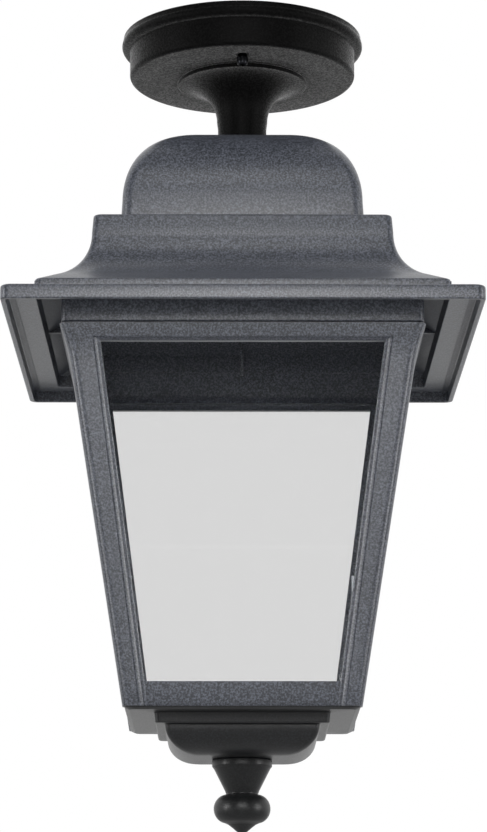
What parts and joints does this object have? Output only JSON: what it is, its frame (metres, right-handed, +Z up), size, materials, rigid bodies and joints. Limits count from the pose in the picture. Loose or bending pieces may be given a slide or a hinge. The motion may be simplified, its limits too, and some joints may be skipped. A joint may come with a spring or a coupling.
{
  "type": "porch ceiling lantern",
  "caption": "Black cast ceiling lantern: round rose and bell stem, domed square ogee roof, tapering glazed basket hinged at its back, stepped base and ball finial.",
  "frame": {"origin": "middle of the rose's ceiling face, where the two fixing slots centre", "axes": "+Z up into the ceiling, -Y to the front, +X to the right seen from behind the lantern's back"},
  "size_m": [0.2216, 0.2216, 0.395],
  "materials": {
    "powder_coat": "black fine-texture powder coat on cast aluminium",
    "zinc_steel": "zinc plated",
    "spring_steel": "bright cold-rolled strip",
    "black_screw": "black zinc",
    "brass": "plain",
    "terminal_plastic": "moulded",
    "holder_plastic": "moulded thermoset",
    "gasket_rubber": "moulded",
    "clear_glass": "clear float glass"
  },
  "bodies": {
    "hung": {"ceiling_plate": "zinc_steel", "terminal_block": "terminal_plastic", "earth_screw": "brass", "canopy": "powder_coat", "canopy_screw_front": "black_screw", "canopy_screw_rear": "black_screw", "canopy_nut": "zinc_steel", "stem_gasket": "gasket_rubber", "stem": "powder_coat", "stem_tube": "zinc_steel", "dome": "powder_coat", "dome_nut": "zinc_steel", "roof": "powder_coat", "roof_screw_1": "zinc_steel", "roof_screw_2": "zinc_steel", "roof_screw_3": "zinc_steel", "roof_screw_4": "zinc_steel", "holder_cap": "zinc_steel", "holder_body": "holder_plastic", "holder_shell": "brass", "holder_contact": "brass", "hinge_pin_left": "zinc_steel", "hinge_pin_right": "zinc_steel", "catch_spring_left": "spring_steel", "catch_spring_right": "spring_steel"},
    "basket": {"frame_front": "powder_coat", "frame_right": "powder_coat", "frame_rear": "powder_coat", "frame_left": "powder_coat", "pane_front": "clear_glass", "pane_right": "clear_glass", "pane_rear": "clear_glass", "pane_left": "clear_glass", "pane_clip_front_1": "zinc_steel", "pane_clip_front_2": "zinc_steel", "pane_clip_right_1": "zinc_steel", "pane_clip_right_2": "zinc_steel", "pane_clip_rear_1": "zinc_steel", "pane_clip_rear_2": "zinc_steel", "pane_clip_left_1": "zinc_steel", "pane_clip_left_2": "zinc_steel", "corner_angle_1": "zinc_steel", "corner_angle_2": "zinc_steel", "corner_angle_3": "zinc_steel", "corner_angle_4": "zinc_steel", "hinge_leaf_left": "zinc_steel", "hinge_leaf_right": "zinc_steel", "base": "powder_coat", "base_screw_front": "zinc_steel", "base_screw_right": "zinc_steel", "base_screw_rear": "zinc_steel", "base_screw_left": "zinc_steel", "finial": "powder_coat", "finial_nut": "zinc_steel"}
  },
  "joints": [
    {"name": "basket_hinge", "type": "hinge", "parent": "hung", "child": "basket", "pos_m": [0, 0.0895, -0.1575], "axis": [1, 0, 0], "range_deg": [0, 85]}
  ]
}
